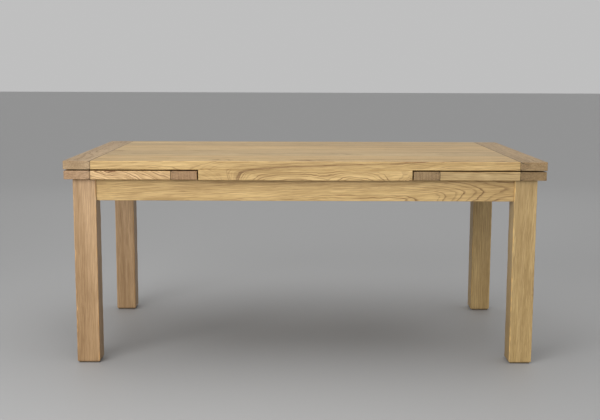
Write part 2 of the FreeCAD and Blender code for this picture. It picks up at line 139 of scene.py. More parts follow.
# %% [markdown]
# Two more things change along a plank, and both are stored on its points for the finish to read. Where
# an arris is rubbed wider, it is also paler, so each arris point carries how worn it is. And where an
# end meets another board in a joint, the small groove between them is darkened as painted shade.

# %% The plank's surface
AXIS_ORDER = {"x": [0, 1, 2], "y": [1, 2, 0], "z": [2, 0, 1]}
WEAR_WAVE = 0.07
LEAST_EASE = 0.1
WORN_RADIUS = 6 * MM


def arris_radii(along, ease, wear, seed):
    """Each arris's radius at every station: its ease times 1 + wear * wander."""
    return [np.maximum(eased * (1 + wear * wander(along, seed + number, WEAR_WAVE)), LEAST_EASE) * MM
            for number, eased in enumerate(np.broadcast_to(np.array(ease, float), 4))]


def rounded_faces(rows, around):
    """Which faces of a plank are shaded smooth, in the order of closed_faces: the strips within each
    arris and the rows of both drawn-in ends. The wide sides and the end grain stay flat."""
    smooth = np.tile(np.arange(around) % ARC_STEPS < ARC_STEPS - 1, (rows - 1, 1))
    smooth[:END_STEPS] = smooth[-END_STEPS:] = True
    return np.append(smooth, np.zeros(2 * around, bool))


def plank(low, high, axis, ease=1.0, ends=((1.0, "round"), (1.0, "round")), joints=(),
          wear=0.25, seed=0, flat=None, step=0.02, radii=None):
    """A plank that fills a box exactly. Its points are P(s, t) = (place along the grain, section at t).
    Sizes of arrises are in millimetres. Joints name the ends, or number the arrises, that meet another
    board."""
    low, high = np.array(low, float), np.array(high, float)
    order = AXIS_ORDER[axis]
    size, middle = (high - low)[order], ((high + low) / 2)[order]
    along, drawn = stations(size[0], [(amount * MM, shape) for amount, shape in ends], step)
    rows = arris_radii(along, ease, wear, seed) if radii is None else radii(along)
    rings = section(size[1:] / 2, drawn, rows, flat)
    count, around = rings.shape[:2]
    grid = np.concatenate([np.broadcast_to(along[:, None, None], (count, around, 1)), rings], axis=2)
    caps = np.array([[along[0], 0, 0], [along[-1], 0, 0]])
    local = np.concatenate([grid.reshape(-1, 3), caps]) + middle
    points = np.empty_like(local)
    points[:, order] = local

    # of an arris's four points, the outer two lie on the faces beside it and stay unworn
    on_arris = np.tile([0, 1, 1, 0], 4).astype(bool)
    in_joint = on_arris & np.isin(np.repeat(np.arange(4), ARC_STEPS), joints)
    worn = np.repeat(np.array(rows).T, ARC_STEPS, axis=1) * (on_arris & ~in_joint)
    # painted shade: the arris points in a joint, and the drawn-in ends of a joined board, are darkened
    # as shade in the groove
    joint_shade_mask = np.broadcast_to(in_joint.astype(float), (count, around)).copy()
    if "ends" in joints:
        joint_shade_mask[:END_STEPS] = joint_shade_mask[-END_STEPS:] = 1
    return {"points": points, "faces": closed_faces(count, around), "axis": axis,
            "smooth": rounded_faces(count, around),
            "worn": np.append(np.clip(worn / WORN_RADIUS, 0, 1), [0, 0]),
            "joint": np.append(joint_shade_mask, [0, 0])}


# %% [markdown]
# ## Where each board was in its log
# What makes wood look like wood is that it is cut from a log: rings run through the whole board, so the
# pattern on its face, its edge and its end belong together. Each board therefore carries, at every
# point, its place in its own log: how far along the pith, and how far from it both ways. The finish
# further down draws rings from those three numbers. They are straight-line functions of the position,
# so storing them on the corners of the mesh is exact. A flat-sawn face shows arches where the pith
# runs towards or away from it, so each log may lean a little. Near a knot the rings bulge, and in
# places they are wavy, so a board also carries how far.

# %% A board's place in its log
TINTS = {"honey": "#ddbd82", "cream": "#eac793", "wheat": "#d7b67c", "straw": "#d6b77e",
         "barley": "#d1b684", "oat": "#cfb17d", "olive": "#d4b883", "rose": "#cbaa83",
         "tan": "#ceaa82", "biscuit": "#c1a47b", "hazel": "#be996d", "umber": "#bb9e71",
         "walnut": "#ab8f62"}


def linear(code):
    """An sRGB hex colour in linear light, with full alpha."""
    parts = np.array([int(code[i:i + 2], 16) for i in (1, 3, 5)]) / 255
    light = np.where(parts <= 0.04045, parts / 12.92, ((parts + 0.055) / 1.055) ** 2.4)
    return (*light.tolist(), 1.0)


RIPPLE_SIZE = 1.8 * MM
SHIFTS = (3, 60)


def in_log(points, axis, pith, lean, shift, coarse):
    """Places in a log: along the pith, and the two distances from it, which a lean changes steadily on
    the way along. The pith is given where it passes the middle of the table. A coarse board, from a
    fast-grown tree, has its distances divided, so that its rings come out wider."""
    place = points[:, AXIS_ORDER[axis]]
    across = place[:, 1:] - np.array(pith) - place[:, :1] * np.array(lean)
    return np.concatenate([place[:, :1] + shift, across / coarse], axis=1)


def bells(points, spots):
    """The sum of bells in metres: each spot's size in millimetres about its middle, times
    exp(-(distance / reach) ** 2), with a reach for each direction."""
    total = np.zeros(len(points))
    for middle, reach, size in spots:
        total += size * MM * np.exp(-(((points - np.array(middle)) / np.array(reach)) ** 2).sum(axis=1))
    return total


def sawn(board, pith, lean=(0.0, 0.0), tint="honey", bold=0.6, coarse=1.0, bulges=(), waves=(),
         shift=None, seed=0):
    """Give a board its log, its tint and how boldly its year lines show. The shift along the log is
    seeded, so that no two boards share a pattern, unless it is given, as for two boards from one
    length."""
    if shift is None:
        shift = np.random.default_rng(1000 + seed).uniform(*SHIFTS)
    points = board["points"]
    board["grain"] = in_log(points, board["axis"], pith, lean, shift, coarse)
    board["tint"] = np.broadcast_to(linear(TINTS.get(tint, tint))[:3], points.shape)
    board["bold"] = np.full(len(points), bold)
    board["bulge"] = bells(points, bulges)
    board["wave"] = RIPPLE_SIZE + bells(points, waves)
    board["grain_axis"] = np.broadcast_to(np.eye(3)[AXIS_ORDER[board["axis"]][0]], points.shape)
    return board


# %% Boards into one Blender mesh
STORED = {"grain": "FLOAT_VECTOR", "grain_axis": "FLOAT_VECTOR", "tint": "FLOAT_VECTOR",
          "bold": "FLOAT", "bulge": "FLOAT", "wave": "FLOAT", "worn": "FLOAT", "joint": "FLOAT"}


def store(mesh, board):
    """Write what a board carries onto the mesh's points."""
    for name, kind in STORED.items():
        attribute = mesh.attributes.new(name, kind, "POINT")
        field = "vector" if kind == "FLOAT_VECTOR" else "value"
        attribute.data.foreach_set(field, np.asarray(board[name], np.float32).ravel())


def joined(boards):
    """Several boards as one set of points and faces."""
    faces, start = [], 0
    for board in boards:
        faces += [[corner + start for corner in face] for face in board["faces"]]
        start += len(board["points"])
    carried = ("points", "smooth", *STORED)
    whole = {name: np.concatenate([board[name] for board in boards]) for name in carried}
    return {**whole, "faces": faces}


def place(piece, body, nodes, slot):
    """Put a piece in the scene, ride it on its body and let it stand for its CAD nodes."""
    bpy.context.scene.collection.objects.link(piece)
    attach(piece, body)
    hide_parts(*nodes)


def make_piece(name, boards, body, nodes):
    """Make an object of oiled oak from boards."""
    whole = joined(boards)
    mesh = bpy.data.meshes.new(name)
    mesh.from_pydata(whole["points"].tolist(), [], whole["faces"])
    store(mesh, whole)
    mesh.polygons.foreach_set("use_smooth", whole["smooth"])
    mesh.materials.append(OILED_OAK)
    place(bpy.data.objects.new(name, mesh), body, nodes, "oak")


# %% [markdown]
# ## Oak
# White oak is ring-porous: each year's ring starts with a band of open pores, which show as dark lines,
# and goes on in dense, paler wood. Here the distance from the pith, bent by slow noise, is divided by
# the ring width, and the fraction left over says where in the year a point is. A real ring is 2 to 4 mm
# and most of its pores under 0.3 mm, too fine to see across a room, so the rings are drawn 4.4 mm wide
# and the pores as streaks 2 mm wide and 40 mm long. Cut across, the pores take up more oil and the end
# grain turns a little darker and greyer. The maker has wiped on a hard wax oil, which gives a low
# satin gloss.

# %% Nodes
def put(tree, kind, settings=None, inputs=None, output=0):
    """Add a node, set it up, feed its inputs with values or with other nodes' outputs, and return one
    of its outputs."""
    item = tree.nodes.new(kind)
    for name, setting in (settings or {}).items():
        setattr(item, name, setting)
    for name, source in (inputs or {}).items():
        socket = item.inputs[name]
        if isinstance(source, bpy.types.NodeSocket):
            tree.links.new(source, socket)
        else:
            socket.default_value = source
    return item.outputs[output]


def new_material(name):
    """An empty material, its tree and its Principled shader, joined to its output."""
    material = bpy.data.materials.new(name)
    material.use_nodes = True
    tree = material.node_tree
    tree.nodes.clear()
    shader = tree.nodes.new("ShaderNodeBsdfPrincipled")
    finish = tree.nodes.new("ShaderNodeOutputMaterial")
    tree.links.new(shader.outputs[0], finish.inputs["Surface"])
    return material, tree, shader


# %% How the rings bend
# waves per metre along and across the log, and how far the slow ones throw the rings
SLOW_WAVES, SLOW_SIZE = (2.2, 12.0, 12.0), 9 * MM
RIPPLE_WAVES = (15.0, 55.0, 55.0)


def thrown(tree, place, waves, size):
    """A sideways offset in the log from a noise of so many waves per metre, up to a size."""
    stretched = put(tree, "ShaderNodeVectorMath", {"operation": "MULTIPLY"}, {0: place, 1: waves})
    noise = put(tree, "ShaderNodeTexNoise", {}, {"Vector": stretched, "Scale": 1.0, "Detail": 1.0}, 1)
    centred = put(tree, "ShaderNodeVectorMath", {"operation": "SUBTRACT"}, {0: noise, 1: (0.5,) * 3})
    sideways = put(tree, "ShaderNodeVectorMath", {"operation": "MULTIPLY"}, {0: centred, 1: (0, 2, 2)})
    return put(tree, "ShaderNodeVectorMath", {"operation": "SCALE"}, {0: sideways, "Scale": size})


def bent_log(tree, place):
    """The place in the log after its slow bends and its ripples."""
    wave = put(tree, "ShaderNodeAttribute", {"attribute_name": "wave"}, output=2)
    for waves, size in ((SLOW_WAVES, SLOW_SIZE), (RIPPLE_WAVES, wave)):
        offset = thrown(tree, place, waves, size)
        place = put(tree, "ShaderNodeVectorMath", {"operation": "ADD"}, {0: place, 1: offset})
    return place


# %% Year lines and pores
RING = 4.4 * MM
# the share of a year that its early wood takes, and where in the year before its line begins
EARLY_SHARE, ONSET = 0.36, 0.9
# how fast the years' growth changes from ring to ring, by how many years it shifts a line, the growth
# of the faintest and of the boldest line, and how strong the faintest one is
YEAR_CHANGE, YEAR_SHIFT = 0.6, 1.6
FAINT_YEAR, BOLD_YEAR, FAINTEST = 0.36, 0.62, 0.35


def year_lines(tree, bent):
    """How deep in early wood a point is, from 0 to 1: a line that starts sharply at each new year and
    fades, times how strong that year is."""
    across = put(tree, "ShaderNodeVectorMath", {"operation": "MULTIPLY"}, {0: bent, 1: (0, 1, 1)})
    radius = put(tree, "ShaderNodeVectorMath", {"operation": "LENGTH"}, {0: across}, 1)
    bulge = put(tree, "ShaderNodeAttribute", {"attribute_name": "bulge"}, output=2)
    bulged = put(tree, "ShaderNodeMath", {"operation": "ADD"}, {0: radius, 1: bulge})
    years = put(tree, "ShaderNodeMath", {"operation": "DIVIDE"}, {0: bulged, 1: RING})
    growth = put(tree, "ShaderNodeTexNoise", {"noise_dimensions": "1D"},
                 {"W": years, "Scale": YEAR_CHANGE, "Detail": 0.0})
    grown = put(tree, "ShaderNodeMath", {"operation": "MULTIPLY_ADD"},
                {0: growth, 1: YEAR_SHIFT, 2: years})
    part = put(tree, "ShaderNodeMath", {"operation": "FRACT"}, {0: grown})
    fading = put(tree, "ShaderNodeMapRange", {"interpolation_type": "SMOOTHSTEP"},
                 {"Value": part, "From Max": EARLY_SHARE, "To Min": 1.0, "To Max": 0.0})
    onset = put(tree, "ShaderNodeMapRange", {"interpolation_type": "SMOOTHSTEP"},
                {"Value": part, "From Min": ONSET, "From Max": 1.0})
    early = put(tree, "ShaderNodeMath", {"operation": "MAXIMUM"}, {0: fading, 1: onset})
    strength = put(tree, "ShaderNodeMapRange", {}, {"Value": growth, "From Min": FAINT_YEAR,
                                                    "From Max": BOLD_YEAR, "To Min": FAINTEST,
                                                    "To Max": 1.0})
    return put(tree, "ShaderNodeMath", {"operation": "MULTIPLY"}, {0: early, 1: strength})


def along_grain(tree, bent, waves, low, high):
    """Streaks along the grain, from a noise of so many waves per metre, spread from 0 to 1."""
    stretched = put(tree, "ShaderNodeVectorMath", {"operation": "MULTIPLY"}, {0: bent, 1: waves})
    noise = put(tree, "ShaderNodeTexNoise", {}, {"Vector": stretched, "Scale": 1.0, "Detail": 2.0})
    return put(tree, "ShaderNodeMapRange", {"interpolation_type": "SMOOTHSTEP"},
               {"Value": noise, "From Min": low, "From Max": high})


# %% The colour of oak
# what the wood is multiplied by where its slow drift, its bands and its streaks are strongest
DRIFT_COLOUR, BAND_COLOUR, STREAK_COLOUR = "#e6e2dc", "#efece4", "#dfd9d0"
# waves per metre along and across the log
DRIFT_WAVES, BAND_WAVES, STREAK_WAVES = (1.3, 11.0, 11.0), (1.1, 60.0, 60.0), (11.0, 250.0, 250.0)
LINE_COLOUR = "#9a8474"
END_COLOUR = "#f0f1f6"
WORN_COLOUR = "#ffe9cf"
# painted shade in the groove where boards meet in a joint
JOINT_SHADE_COLOUR = "#46382a"


def times(tree, colour, factor, code):
    """A colour multiplied by another as far as a factor says."""
    return put(tree, "ShaderNodeMix", {"data_type": "RGBA", "blend_type": "MULTIPLY"},
               {"Factor": factor, "A": colour, "B": linear(code)}, 2)


def oak_colour(tree, place, bent, darkness):
    """The board's own tint, drifting slowly between warmer and greyer wood, with streaks, and darker
    in the pore lines and on end grain."""
    tint = put(tree, "ShaderNodeAttribute", {"attribute_name": "tint"}, output=1)
    drift = along_grain(tree, place, DRIFT_WAVES, 0.3, 0.7)
    warm = times(tree, tint, drift, DRIFT_COLOUR)
    band = along_grain(tree, bent, BAND_WAVES, 0.3, 0.7)
    banded = times(tree, warm, band, BAND_COLOUR)
    streak = along_grain(tree, bent, STREAK_WAVES, 0.3, 0.7)
    streaked = times(tree, banded, streak, STREAK_COLOUR)
    lined = times(tree, streaked, darkness, LINE_COLOUR)
    normal = put(tree, "ShaderNodeTexCoord", output=1)
    direction = put(tree, "ShaderNodeAttribute", {"attribute_name": "grain_axis"}, output=1)
    facing = put(tree, "ShaderNodeVectorMath", {"operation": "DOT_PRODUCT"},
                 {0: normal, 1: direction}, 1)
    level = put(tree, "ShaderNodeMath", {"operation": "ABSOLUTE"}, {0: facing})
    cross_cut = put(tree, "ShaderNodeMapRange", {"interpolation_type": "SMOOTHSTEP"},
                    {"Value": level, "From Min": 0.6, "From Max": 0.95})
    return times(tree, lined, cross_cut, END_COLOUR)


# the slow patches in which the year lines fade, and the pores, in waves per metre
PATCH_WAVES, PORE_WAVES = (3.0, 22.0, 22.0), (24.0, 520.0, 520.0)
# how much of the lines still shows where they have faded, and how dark pores are between the lines
FADED, LONE_PORES = 0.4, 0.25
DULLER, PORE_DEPTH = 0.2, 0.25 * MM


def oak(name, roughness):
    """Oak, with how rough its surface is between the pores."""
    material, tree, shader = new_material(name)
    place = put(tree, "ShaderNodeAttribute", {"attribute_name": "grain"}, output=1)
    bent = bent_log(tree, place)
    lines = year_lines(tree, bent)
    patches = along_grain(tree, place, PATCH_WAVES, 0.3, 0.65)
    showing = put(tree, "ShaderNodeMath", {"operation": "MULTIPLY_ADD"},
                  {0: patches, 1: 1 - FADED, 2: FADED})
    bold = put(tree, "ShaderNodeAttribute", {"attribute_name": "bold"}, output=2)
    bolder = put(tree, "ShaderNodeMath", {"operation": "MULTIPLY"}, {0: lines, 1: bold})
    shown = put(tree, "ShaderNodeMath", {"operation": "MULTIPLY"}, {0: bolder, 1: showing})
    pores = along_grain(tree, bent, PORE_WAVES, 0.5, 0.72)
    room = put(tree, "ShaderNodeMath", {"operation": "MULTIPLY_ADD"},
               {0: shown, 1: 0.4, 2: LONE_PORES})
    pored = put(tree, "ShaderNodeMath", {"operation": "MULTIPLY"}, {0: pores, 1: room})
    darkness = put(tree, "ShaderNodeMath", {"operation": "ADD"}, {0: shown, 1: pored})
    colour = oak_colour(tree, place, bent, darkness)
    worn = put(tree, "ShaderNodeAttribute", {"attribute_name": "worn"}, output=2)
    pale = put(tree, "ShaderNodeMix", {"data_type": "RGBA", "blend_type": "SOFT_LIGHT"},
               {"Factor": worn, "A": colour, "B": linear(WORN_COLOUR)}, 2)
    # painted shade: darker along the groove of each joint
    joint = put(tree, "ShaderNodeAttribute", {"attribute_name": "joint"}, output=2)
    tree.links.new(times(tree, pale, joint, JOINT_SHADE_COLOUR), shader.inputs["Base Color"])

    # the oil sinks into the pores, so they are duller, and they are slightly open
    dull = put(tree, "ShaderNodeMapRange", {}, {"Value": darkness, "To Min": roughness,
                                                "To Max": roughness + DULLER})
    tree.links.new(dull, shader.inputs["Roughness"])
    relief = put(tree, "ShaderNodeBump", {"invert": True},
                 {"Strength": 0.35, "Distance": PORE_DEPTH, "Height": darkness})
    tree.links.new(relief, shader.inputs["Normal"])
    return material


OILED_OAK = oak("oak_hard_wax_oiled", 0.46)
PLAIN_WOOD = oak("oak_planed_unfinished", 0.62)
print("wood:", OILED_OAK.name, PLAIN_WOOD.name)

# %% [markdown]
# ## The main top
# Eight boards, glued edge to edge, with a board across each end. Only the outer arrises are eased so
# that a hand feels them; between the boards there is the faintest break, and at the cross boards a
# small bevel that the maker leaves so that the joint stays neat when the field moves with the seasons.

# %% Top boards
EDGE_EASE, TIP_EASE, JOINT_EASE, GLUE_EASE = 2.2, 1.6, 1.5, 0.3
PLAIN_ENDS = ((TIP_EASE, "round"),) * 2
JOINT_ENDS = {"ends": ((JOINT_EASE, "round"),) * 2, "joints": ("ends",)}


FIELD_BOARDS = 8


def field_ease(number):
    """Arris sizes of one board of a panel along X, in the plank's own order of corners: back top,
    front top, front under, back under."""
    front = EDGE_EASE if number == 0 else GLUE_EASE
    back = EDGE_EASE if number == FIELD_BOARDS - 1 else GLUE_EASE
    return (back, front, front, back)


FRONT_LOG = {"pith": (-0.44, 0.68), "lean": (-0.03, 0.03), "shift": 7.3, "tint": "honey", "bold": 1.0,
             "bulges": [((-0.43, -0.5, 0.70), (0.16, 0.05, 0.045), 82),
                        ((0.43, -0.5, 0.70), (0.15, 0.05, 0.045), 56),
                        ((0.08, -0.5, 0.70), (0.06, 0.05, 0.02), 14)],
             "waves": [((-0.3, -0.5, 0.71), (0.15, 0.05, 0.03), 1.2),
                       ((0.3, -0.5, 0.71), (0.15, 0.05, 0.03), 2)]}
BACK_LOG = {"pith": (0.44, 0.69), "lean": (0.03, -0.02), "shift": 31.7, "tint": "straw",
            "bulges": [((0.2, 0.5, 0.70), (0.12, 0.05, 0.04), 40)]}
FIELD_TINTS = ["straw", "wheat", "barley", "oat", "straw", "wheat", "oat", "barley", "straw"]
FIELD_BOLD = 0.45
chance = np.random.default_rng(24)


def own_log(middle, face, aside, below):
    """A log of its own for a board of a panel: the pith lies below the board's face and up to so far
    to a side of its middle, and the log leans a little."""
    pith = (middle + chance.uniform(-aside, aside), face - chance.uniform(*below))
    return {"pith": pith, "lean": chance.uniform(-0.03, 0.03, 2)}


field_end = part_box("top_end_right")[0].x
for number in range(FIELD_BOARDS):
    node = f"top_board_{number + 1}"
    low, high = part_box(node)
    low.x, high.x = -field_end, field_end
    board = plank(low, high, "x", field_ease(number), seed=10 * number, **JOINT_ENDS)
    if number in (0, FIELD_BOARDS - 1):
        board = sawn(board, **(FRONT_LOG if number == 0 else BACK_LOG))
    else:
        log = own_log((low.y + high.y) / 2, high.z, 0.10, (0.12, 0.25))
        board = sawn(board, **log, tint=FIELD_TINTS[number], bold=FIELD_BOLD, seed=number)
    make_piece(f"oak_{node}", [board], "main_top", [node])
print("main top:", FIELD_BOARDS, "boards")

# %% [markdown]
# The end boards lie across the field and hold it flat. Their outer arrises are eased like the top's
# own edge, and the ones that meet the field only have the joint's small bevel. Under each long edge a
# lip hides the gap between the two leaves. It was sawn from the edge board's own log, so the same
# function draws its rings, and they run on from the board into the lip.

# %% Top ends and lips
# a plank along Y numbers its arrises top right, under right, under left, top left
RIGHT_ARRISES, LEFT_ARRISES = (0, 1), (2, 3)
# the right end's joint has opened a little more than the left one's
END_JOINT_EASE = {"left": 1.5, "right": 2.6}
for side, pith in (("left", (0.64, -0.83)), ("right", (0.65, 0.90))):
    node = f"top_end_{side}"
    low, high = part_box(node)
    joints = RIGHT_ARRISES if side == "left" else LEFT_ARRISES
    ease = [END_JOINT_EASE[side] if arris in joints else EDGE_EASE for arris in range(4)]
    board = plank(low, high, "y", ease, PLAIN_ENDS, joints, seed=100 + len(side))
    tint = "biscuit" if side == "left" else "umber"
    board = sawn(board, pith, (0.02, 0.03), tint, seed=40 + len(side))
    make_piece(f"oak_{node}", [board], "main_top", [node])

LIP_TOP, LIP_OUTER, LIP_INNER = 0.12, 1.2, 0.3
for side, log in (("front", FRONT_LOG), ("back", BACK_LOG)):
    low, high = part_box(f"lip_{side}")
    under = (LIP_OUTER, LIP_INNER) if side == "front" else (LIP_INNER, LIP_OUTER)
    board = plank(low, high, "x", (LIP_TOP, LIP_TOP, *under), ((1.0, "round"),) * 2, seed=130)
    make_piece(f"oak_lip_{side}", [sawn(board, **log)], "main_top", [f"lip_{side}"])
print("main top: 2 ends and 2 lips")

# %% [markdown]
# ## The leaves
# Each leaf is a short panel like the top. The board at its front edge is what shows when the table is
# closed, and on this table the left one was cut close to the pith, so its edge shows bold waves.

# %% Leaf boards
LEAF_FRONT = {
    "left": {"pith": (-0.44, 0.32), "lean": (0.02, -0.45), "tint": "cream", "bold": 1.5, "coarse": 2.2,
             "shift": 12.4, "waves": [((-0.65, -0.5, 0.727), (0.5, 0.2, 0.2), 6)],
             "bulges": [((-0.76, -0.5, 0.735), (0.05, 0.05, 0.014), 15),
                        ((-0.66, -0.5, 0.720), (0.035, 0.05, 0.012), -10)]},
    "right": {"pith": (-0.38, 0.60), "lean": (0.01, 0.0), "tint": "barley", "shift": 18.9}}
END_TINTS = {"left_inner": "hazel", "left_outer": "tan", "right_inner": "umber", "right_outer": "walnut"}
# height of each end board's pith, how far it lies to the left, and how boldly its lines show: an inner
# end is nearly quarter-sawn, and its lines stand upright
END_CUTS = {"inner": (0.70, 0.22, 1.2), "outer": (0.80, 0.03, 0.6)}
for side in ("left", "right"):
    node = f"{side}_leaf_boards"
    first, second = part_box(f"{side}_leaf_inner_end"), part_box(f"{side}_leaf_outer_end")
    edges = sorted([first[0].x, first[1].x, second[0].x, second[1].x])
    low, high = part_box(node)
    width = (high.y - low.y) / FIELD_BOARDS
    boards = []
    for number in range(FIELD_BOARDS):
        corner_low = (edges[1], low.y + number * width, low.z)
        corner_high = (edges[2], low.y + (number + 1) * width, high.z)
        board = plank(corner_low, corner_high, "x", field_ease(number), seed=200 + 7 * number,
                      **JOINT_ENDS)
        log = {**own_log(corner_low[1] + width / 2, high.z, 0.05, (0.08, 0.2)),
               "tint": FIELD_TINTS[(number + 3) % len(FIELD_TINTS)], "seed": 60 + number + len(side)}
        boards.append(sawn(board, **(LEAF_FRONT[side] if number == 0 else log)))
    make_piece(f"oak_{side}_leaf_field", boards, f"{side}_leaf", [node])
    for end in ("inner", "outer"):
        low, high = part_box(f"{side}_leaf_{end}_end")
        field_to_the_right = (side == "left") == (end == "outer")
        joints = RIGHT_ARRISES if field_to_the_right else LEFT_ARRISES
        ease = [JOINT_EASE if arris in joints else TIP_EASE for arris in range(4)]
        board = plank(low, high, "y", ease, PLAIN_ENDS, joints, seed=300 + len(end + side))
        height, aside, bold = END_CUTS[end]
        pith = (height, (low.x + high.x) / 2 - aside)
        board = sawn(board, pith, (0.02, -0.02), END_TINTS[f"{side}_{end}"], bold,
                     seed=80 + len(end + side))
        make_piece(f"oak_{side}_leaf_{end}_end", [board], f"{side}_leaf", [f"{side}_leaf_{end}_end"])
print("leaves: 2 fields and 4 ends")

# %% [markdown]
# ## Legs
# Square posts with a chamfered foot, so that a dragged leg doesn't splinter. Their arrises were worked
# by hand with a spokeshave, and wander more than a machine's would. The front left one has been
# knocked a few times near its foot. The inner corner is cut flat near the top, where the hanger bolts
# come out. The tint deepens evenly from the top to the foot, as painted shade for the light that falls
# off toward the floor.

# %% Leg posts
LEG_EASE, LEG_WEAR, FOOT, LEG_STEP = 3.0, 0.75, 5.0, 0.006
SMALLEST_ARRIS = 0.8 * MM
# painted shade: the colour at the very foot against the top, darker toward the floor where less light
# reaches
FOOT_PAINTED_SHADE = np.array((0.86, 0.83, 0.76))
FLAT_SIZE, FLAT_BELOW_BRACE = 25 * MM, 16 * MM
flat_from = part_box("corner_brace_front_left")[0].z - FLAT_BELOW_BRACE
# slow-grown wood: fine rings that show faintly
LEG_WOOD = {"bold": 0.5, "coarse": 0.7}
LEG_LOOKS = {
    "front_left": {"inner": 0, "tint": "rose", "pith": (-1.02, -0.40), "lean": (0.01, -0.02)},
    "front_right": {"inner": 1, "tint": "olive", "pith": (0.70, -0.62), "lean": (0.015, 0.02),
                    "waves": [((0.871, -0.473, 0.25), (0.06, 0.03, 0.45), 7)]},
    "back_right": {"inner": 2, "tint": "olive", "pith": (0.95, 0.30), "lean": (0.0, 0.02)},
    "back_left": {"inner": 3, "tint": "rose", "pith": (-0.70, 0.60), "lean": (-0.02, 0.0)}}
# height of each knock, its reach along the arris and its depth
KNOCKS = {"front_left": [(0.212, 0.008, 6 * MM), (0.168, 0.012, 5 * MM), (0.128, 0.007, 5 * MM),
                         (0.43, 0.010, 3 * MM)]}
for number, (corner, look) in enumerate(LEG_LOOKS.items()):
    low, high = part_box(f"leg_{corner}")
    inner = look.pop("inner")
    outer = (inner + 2) % 4
    middle = (low.z + high.z) / 2

    def radii(along):
        """Each arris's radius along the post: its ease times 1 + wear * wander, wider at a knock, and
        the inner corner's flat near the top."""
        rows = [LEG_EASE * MM * (1 + LEG_WEAR * wander(along, 400 + 4 * number + side, 0.05))
                for side in range(4)]
        for height, reach, depth in KNOCKS.get(corner, ()):
            rows[outer] = rows[outer] + depth * np.exp(-((along + middle - height) / reach) ** 2)
        rows = [np.maximum(row, SMALLEST_ARRIS) for row in rows]
        rows[inner] = np.where(along + middle > flat_from, FLAT_SIZE, rows[inner])
        return rows

    post = plank(low, high, "z", ends=((FOOT, "chamfer"), (0.8, "round")), flat=inner, step=LEG_STEP,
                 radii=radii)
    post = sawn(post, seed=120 + number, **LEG_WOOD, **look)
    # painted shade: the tint darkens evenly from the top of the post to its foot
    rise = (post["points"][:, 2:] - low.z) / (high.z - low.z)
    post["tint"] = post["tint"] * (1 - (1 - FOOT_PAINTED_SHADE) * (1 - rise))
    make_piece(f"oak_leg_{corner}", [post], "frame", [f"leg_{corner}"])
print("legs: 4 posts")

# %% [markdown]
# ## Aprons
# The long aprons are plain boards between the legs, so they are planks like the others. The front one
# has a bulge in its rings at the right end, which draws arcs there.

# %% Long aprons
APRON_LOGS = {"front": {"pith": (-0.36, 0.60), "lean": (0.012, 0.05), "tint": "honey", "bold": 0.9,
                        "bulges": [((0.80, -0.4645, 0.63), (0.28, 0.05, 0.08), 40)]},
              "back": {"pith": (0.37, 0.61), "lean": (0.01, -0.04), "tint": "straw"}}
for side, log in APRON_LOGS.items():
    low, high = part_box(f"apron_{side}")
    board = plank(low, high, "x", 1.4, ((0.3, "round"),) * 2, seed=500 + len(side))
    board = sawn(board, seed=150 + len(side), **log)
    make_piece(f"oak_apron_{side}", [board], "frame", [f"apron_{side}"])
print("aprons:", " and ".join(APRON_LOGS))

# %% [markdown]
# ## What is inside
# The end aprons have open notches for the bearers, so they, the cross rails and the rest of what is
# inside come from the frame's own shapes: a copy is merged, its flat triangles are joined up again,
# and a Bevel modifier breaks its sharp arrises. Its wood is cut from a log like every other board's.
# The end aprons are oiled. The pieces behind them are planed, left without oil and a little rougher.

# %% Copies of frame pieces
MERGE_WITHIN = 0.01 * MM
# two faces that meet at less than this angle, in radians, are one flat face
FLAT_WITHIN = 0.02


def merged_copy(node, name):
    """A copy of a CAD node's mesh whose loose triangles are merged and joined into whole faces."""
    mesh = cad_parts[node].data.copy()
    mesh.name = name
    work = bmesh.new()
    work.from_mesh(mesh)
    bmesh.ops.remove_doubles(work, verts=work.verts, dist=MERGE_WITHIN)
    bmesh.ops.dissolve_limit(work, angle_limit=FLAT_WITHIN, verts=work.verts, edges=work.edges)
    work.to_mesh(mesh)
    work.free()
    mesh.materials.clear()
    return mesh


def bevelled(mesh, material, body, node, slot, width, segments=2):
    """An object from a copied mesh, with its sharp arrises broken by a Bevel modifier."""
    mesh.materials.append(material)
    piece = bpy.data.objects.new(mesh.name, mesh)
    bevel = piece.modifiers.new("broken_arrises", "BEVEL")
    bevel.width = width * MM
    bevel.segments = segments
    bevel.limit_method = "ANGLE"
    place(piece, body, [node], slot)


def softened(node, axis, pith, tint, width=0.8, material=PLAIN_WOOD, slot="plain_hardwood", body="frame",
             turn=0.0):
    """A wooden piece from its CAD node. A turn about Z lays its log askew, as in a corner brace."""
    mesh = merged_copy(node, f"wood_{node}")
    points = np.empty(len(mesh.vertices) * 3)
    mesh.vertices.foreach_get("co", points)
    turning = np.array(Matrix.Rotation(np.radians(turn), 3, "Z"))
    nothing = np.zeros(len(mesh.vertices))
    board = {"points": points.reshape(-1, 3) @ turning, "axis": axis, "worn": nothing, "joint": nothing}
    board = sawn(board, pith, (0.01, -0.01), tint, seed=sum(node.encode()))
    board["grain_axis"] = board["grain_axis"] @ turning.T
    store(mesh, board)
    bevelled(mesh, material, body, node, slot, width)


BEARER_PITH_ASIDE = 60 * MM
for side, sign in (("left", -1), ("right", 1)):
    softened(f"apron_{side}", "y", (0.57, sign * 0.78), "honey", 1.2, OILED_OAK, "oak")
    softened(f"cross_rail_{side}", "y", (0.60, sign * 0.28), "biscuit")
    for row in ("a", "b"):
        node = f"{side}_bearer_{row}"
        pith = (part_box(node)[0].y - BEARER_PITH_ASIDE, 0.66)
        softened(node, "x", pith, "oat", body=f"{side}_leaf")
    softened(f"{side}_stop_blocks", "x", (0.3, 0.6), "biscuit", body=f"{side}_leaf")
softened("centre_board", "x", (0.1, 0.58), "oat")
for number, (corner, turn) in enumerate((("front_left", -45), ("front_right", 45),
                                         ("back_right", -45), ("back_left", 45))):
    softened(f"corner_brace_{corner}", "x", (0.3 + 0.1 * number, 0.62), "barley", turn=turn)

